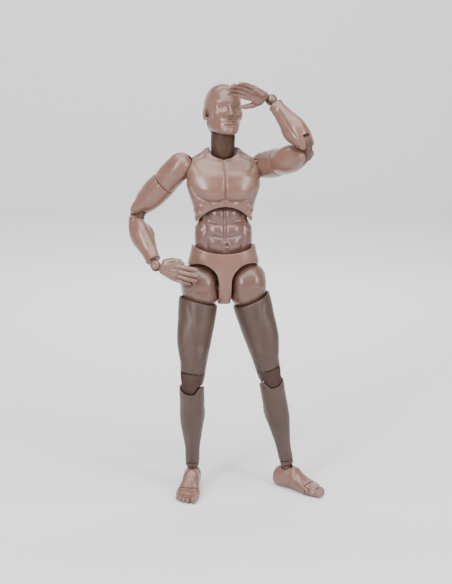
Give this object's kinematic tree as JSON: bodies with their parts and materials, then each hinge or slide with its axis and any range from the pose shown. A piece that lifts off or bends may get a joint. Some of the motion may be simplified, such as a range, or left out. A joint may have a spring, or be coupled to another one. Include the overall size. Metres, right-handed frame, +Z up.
{
  "type": "articulated figure body",
  "caption": "Small bald male figure body in glossy tan plastic, jointed from neck to toes, standing with one hand on the hip and one at the brow.",
  "frame": {"origin": "middle of the figure's bounding box, at the soles", "axes": "+Z up, the pelvis faces -Y, the figure's own left side is +X"},
  "size_m": [0.1415, 0.0666, 0.2968],
  "materials": {
    "skin_gloss": "glossy, light tan",
    "skin_satin": "satin, light tan",
    "knee_matte": "matte, darker tan",
    "peg": "plain moulded tan",
    "steel": "plated"
  },
  "bodies": {
    "pelvis": {"pelvis_front": "skin_gloss", "pelvis_back": "skin_gloss", "pelvis_screws": "steel"},
    "waist_peg": {"waist_peg": "peg"},
    "abdomen": {"abdomen": "skin_gloss"},
    "spine_peg": {"spine_peg": "peg"},
    "chest": {"chest_front": "skin_gloss", "chest_back": "skin_gloss", "chest_screws": "steel"},
    "neck_peg": {"neck_peg": "peg"},
    "neck": {"neck": "skin_satin"},
    "head_peg": {"head_peg": "peg"},
    "head": {"head": "skin_gloss"},
    "shoulder_knuckle_right": {"shoulder_knuckle_right": "peg"},
    "deltoid_right": {"deltoid_right": "skin_gloss", "shoulder_pin_right": "peg"},
    "biceps_right": {"biceps_right": "skin_gloss"},
    "elbow_link_right": {"elbow_link_right": "peg", "elbow_pins_right": "peg"},
    "forearm_right": {"forearm_right": "skin_gloss"},
    "wrist_peg_right": {"wrist_peg_right": "peg", "wrist_pin_right": "peg"},
    "hand_peg_right": {"hand_peg_right": "peg"},
    "hand_right": {"hand_right": "skin_gloss"},
    "shoulder_knuckle_left": {"shoulder_knuckle_left": "peg"},
    "deltoid_left": {"deltoid_left": "skin_gloss", "shoulder_pin_left": "peg"},
    "biceps_left": {"biceps_left": "skin_gloss"},
    "elbow_link_left": {"elbow_link_left": "peg", "elbow_pins_left": "peg"},
    "forearm_left": {"forearm_left": "skin_gloss"},
    "wrist_peg_left": {"wrist_peg_left": "peg", "wrist_pin_left": "peg"},
    "hand_peg_left": {"hand_peg_left": "peg"},
    "hand_left": {"hand_left": "skin_gloss"},
    "hip_yoke_right": {"hip_yoke_right": "peg"},
    "hip_cap_right": {"hip_cap_right": "skin_gloss", "hip_pin_right": "peg"},
    "thigh_right": {"thigh_right": "skin_satin"},
    "knee_link_right": {"knee_link_right": "knee_matte", "knee_pins_right": "peg"},
    "shin_right": {"shin_right": "skin_satin"},
    "ankle_peg_right": {"ankle_peg_right": "skin_satin"},
    "foot_knuckle_right": {"foot_knuckle_right": "peg", "ankle_pin_right": "peg"},
    "foot_right": {"foot_right": "skin_gloss"},
    "toes_right": {"toes_right": "skin_gloss"},
    "hip_yoke_left": {"hip_yoke_left": "peg"},
    "hip_cap_left": {"hip_cap_left": "skin_gloss", "hip_pin_left": "peg"},
    "thigh_left": {"thigh_left": "skin_satin"},
    "knee_link_left": {"knee_link_left": "knee_matte", "knee_pins_left": "peg"},
    "shin_left": {"shin_left": "skin_satin"},
    "ankle_peg_left": {"ankle_peg_left": "skin_satin"},
    "foot_knuckle_left": {"foot_knuckle_left": "peg", "ankle_pin_left": "peg"},
    "foot_left": {"foot_left": "skin_gloss"},
    "toes_left": {"toes_left": "skin_gloss"}
  },
  "joints": [
    {"name": "waist_turn", "type": "hinge", "parent": "pelvis", "child": "waist_peg", "pos_m": [-0.0038, 0.0116, 0.184], "axis": [0, 0, 1], "range_deg": [-9, 9]},
    {"name": "waist_bend", "type": "hinge", "parent": "waist_peg", "child": "abdomen", "pos_m": [-0.0038, 0.0116, 0.184], "axis": [1, 0, 0], "range_deg": [-10, 9]},
    {"name": "chest_bend", "type": "hinge", "parent": "abdomen", "child": "spine_peg", "pos_m": [-0.0038, 0.01279, 0.20096], "axis": [1, 0, 0], "range_deg": [-13, 4]},
    {"name": "chest_turn", "type": "hinge", "parent": "spine_peg", "child": "chest", "pos_m": [-0.0038, 0.01279, 0.20096], "axis": [0, 0.0175, 0.9998], "range_deg": [-9, 9]},
    {"name": "neck_lean", "type": "hinge", "parent": "chest", "child": "neck_peg", "pos_m": [-0.0038, 0.01552, 0.24292], "axis": [1, 0, 0], "range_deg": [-26, 5]},
    {"name": "neck_turn", "type": "hinge", "parent": "neck_peg", "child": "neck", "pos_m": [-0.0038, 0.01552, 0.24292], "axis": [0, -0.1736, 0.9848], "range_deg": [-40, 40]},
    {"name": "head_nod", "type": "hinge", "parent": "neck", "child": "head_peg", "pos_m": [-0.0038, 0.01239, 0.26064], "axis": [1, 0, 0], "range_deg": [-21, 19]},
    {"name": "head_turn", "type": "hinge", "parent": "head_peg", "child": "head", "pos_m": [-0.0038, 0.01239, 0.26064], "axis": [0, 0.1736, 0.9848], "range_deg": [-60, 45]},
    {"name": "shoulder_swing_right", "type": "hinge", "parent": "chest", "child": "shoulder_knuckle_right", "pos_m": [-0.0333, 0.01427, 0.23994], "axis": [-1, 0, 0], "range_deg": [-1, 120]},
    {"name": "shoulder_raise_right", "type": "hinge", "parent": "shoulder_knuckle_right", "child": "deltoid_right", "pos_m": [-0.0333, 0.01427, 0.23994], "axis": [0, 0.9298, 0.3681], "range_deg": [-11, 39]},
    {"name": "arm_twist_right", "type": "hinge", "parent": "deltoid_right", "child": "biceps_right", "pos_m": [-0.0333, 0.01427, 0.23994], "axis": [-0.6521, 0.2791, -0.7049], "range_deg": [-1, 75]},
    {"name": "elbow_upper_right", "type": "hinge", "parent": "biceps_right", "child": "elbow_link_right", "pos_m": [-0.06297, 0.02696, 0.20787], "axis": [-0.63, -0.7167, 0.299], "range_deg": [-40, 24]},
    {"name": "elbow_lower_right", "type": "hinge", "parent": "elbow_link_right", "child": "forearm_right", "pos_m": [-0.06492, 0.0251, 0.19928], "axis": [-0.63, -0.7167, 0.299], "range_deg": [-40, 24]},
    {"name": "wrist_twist_right", "type": "hinge", "parent": "forearm_right", "child": "wrist_peg_right", "pos_m": [-0.05243, 0.00228, 0.1709], "axis": [0.3244, -0.5927, -0.7372], "range_deg": [-15, 90]},
    {"name": "wrist_bend_right", "type": "hinge", "parent": "wrist_peg_right", "child": "hand_peg_right", "pos_m": [-0.05243, 0.00228, 0.1709], "axis": [0.2506, 0.8053, -0.5373], "range_deg": [-25, 80]},
    {"name": "hand_twist_right", "type": "hinge", "parent": "hand_peg_right", "child": "hand_right", "pos_m": [-0.05243, 0.00228, 0.1709], "axis": [0.8677, -0.4329, -0.2442], "range_deg": [-60, 60]},
    {"name": "shoulder_swing_left", "type": "hinge", "parent": "chest", "child": "shoulder_knuckle_left", "pos_m": [0.0257, 0.01427, 0.23994], "axis": [-1, 0, 0], "range_deg": [-100, 9]},
    {"name": "shoulder_raise_left", "type": "hinge", "parent": "shoulder_knuckle_left", "child": "deltoid_left", "pos_m": [0.0257, 0.01427, 0.23994], "axis": [0, -0.2284, -0.9736], "range_deg": [-51, 11]},
    {"name": "arm_twist_left", "type": "hinge", "parent": "deltoid_left", "child": "biceps_left", "pos_m": [0.0257, 0.01427, 0.23994], "axis": [-0.4741, 0.8572, -0.2011], "range_deg": [-60, 70]},
    {"name": "elbow_upper_left", "type": "hinge", "parent": "biceps_left", "child": "elbow_link_left", "pos_m": [0.04727, -0.02474, 0.24909], "axis": [-0.8129, -0.5139, -0.2742], "range_deg": [-59, 5]},
    {"name": "elbow_lower_left", "type": "hinge", "parent": "elbow_link_left", "child": "forearm_left", "pos_m": [0.04682, -0.0284, 0.25729], "axis": [-0.8129, -0.5139, -0.2742], "range_deg": [-59, 5]},
    {"name": "wrist_twist_left", "type": "hinge", "parent": "forearm_left", "child": "wrist_peg_left", "pos_m": [0.02661, -0.01138, 0.28529], "axis": [0.5249, -0.4423, -0.7272], "range_deg": [-90, 31]},
    {"name": "wrist_bend_left", "type": "hinge", "parent": "wrist_peg_left", "child": "hand_peg_left", "pos_m": [0.02661, -0.01138, 0.28529], "axis": [0.355, -0.6628, 0.6593], "range_deg": [-90, 23]},
    {"name": "hand_twist_left", "type": "hinge", "parent": "hand_peg_left", "child": "hand_left", "pos_m": [0.02661, -0.01138, 0.28529], "axis": [0.9324, 0.2001, -0.3009], "range_deg": [-60, 60]},
    {"name": "hip_swing_right", "type": "hinge", "parent": "pelvis", "child": "hip_yoke_right", "pos_m": [-0.0208, 0.0096, 0.156], "axis": [-1, 0, 0], "range_deg": [-41, 41]},
    {"name": "hip_spread_right", "type": "hinge", "parent": "hip_yoke_right", "child": "hip_cap_right", "pos_m": [-0.0208, 0.0096, 0.156], "axis": [0, 0.9791, -0.2035], "range_deg": [-5, 21]},
    {"name": "thigh_twist_right", "type": "hinge", "parent": "hip_cap_right", "child": "thigh_right", "pos_m": [-0.0208, 0.0096, 0.156], "axis": [-0.101, -0.2024, -0.9741], "range_deg": [-35, 20]},
    {"name": "knee_upper_right", "type": "hinge", "parent": "thigh_right", "child": "knee_link_right", "pos_m": [-0.02764, -0.0041, 0.09005], "axis": [-0.9678, 0.2467, 0.0491], "range_deg": [-47, 14]},
    {"name": "knee_lower_right", "type": "hinge", "parent": "knee_link_right", "child": "shin_right", "pos_m": [-0.02805, -0.00373, 0.08007], "axis": [0.9678, -0.2467, -0.0491], "range_deg": [-14, 47]},
    {"name": "ankle_twist_right", "type": "hinge", "parent": "shin_right", "child": "ankle_peg_right", "pos_m": [-0.0266, 0.0149, 0.015], "axis": [0.0214, 0.2752, -0.9612], "range_deg": [-30, 30]},
    {"name": "ankle_bend_right", "type": "hinge", "parent": "ankle_peg_right", "child": "foot_knuckle_right", "pos_m": [-0.0266, 0.0149, 0.015], "axis": [0.9735, -0.2247, -0.0427], "range_deg": [-5, 46]},
    {"name": "ankle_roll_right", "type": "hinge", "parent": "foot_knuckle_right", "child": "foot_right", "pos_m": [-0.0266, 0.0149, 0.015], "axis": [-0.225, -0.9744, 0], "range_deg": [-20, 14]},
    {"name": "toe_bend_right", "type": "hinge", "parent": "foot_right", "child": "toes_right", "pos_m": [-0.03121, -0.00507, 0.0033], "axis": [-0.9744, 0.225, 0], "range_deg": [-5, 35]},
    {"name": "hip_swing_left", "type": "hinge", "parent": "pelvis", "child": "hip_yoke_left", "pos_m": [0.0132, 0.0096, 0.156], "axis": [1, 0, 0], "range_deg": [-92, 37]},
    {"name": "hip_spread_left", "type": "hinge", "parent": "hip_yoke_left", "child": "hip_cap_left", "pos_m": [0.0132, 0.0096, 0.156], "axis": [0, 0.9923, -0.1238], "range_deg": [-13, 13]},
    {"name": "thigh_twist_left", "type": "hinge", "parent": "hip_cap_left", "child": "thigh_left", "pos_m": [0.0132, 0.0096, 0.156], "axis": [-0.2296, 0.1205, 0.9658], "range_deg": [-30, 25]},
    {"name": "knee_upper_left", "type": "hinge", "parent": "thigh_left", "child": "knee_link_left", "pos_m": [0.02874, 0.00145, 0.09062], "axis": [0.9687, 0.1241, 0.2148], "range_deg": [-6, 55]},
    {"name": "knee_lower_left", "type": "hinge", "parent": "knee_link_left", "child": "shin_left", "pos_m": [0.03091, 0.00142, 0.08085], "axis": [-0.9687, -0.1241, -0.2148], "range_deg": [-55, 6]},
    {"name": "ankle_twist_left", "type": "hinge", "parent": "shin_left", "child": "ankle_peg_left", "pos_m": [0.0445, 0.0093, 0.015], "axis": [-0.2008, -0.1163, 0.9727], "range_deg": [-45, 15]},
    {"name": "ankle_bend_left", "type": "hinge", "parent": "ankle_peg_left", "child": "foot_knuckle_left", "pos_m": [0.0445, 0.0093, 0.015], "axis": [-0.6649, -0.713, -0.2225], "range_deg": [-28, 22]},
    {"name": "ankle_roll_left", "type": "hinge", "parent": "foot_knuckle_left", "child": "foot_left", "pos_m": [0.0445, 0.0093, 0.015], "axis": [-0.7314, 0.682, 0], "range_deg": [-24, 5]},
    {"name": "toe_bend_left", "type": "hinge", "parent": "foot_left", "child": "toes_left", "pos_m": [0.05949, -0.00468, 0.0033], "axis": [-0.682, -0.7314, 0], "range_deg": [-5, 35]}
  ]
}
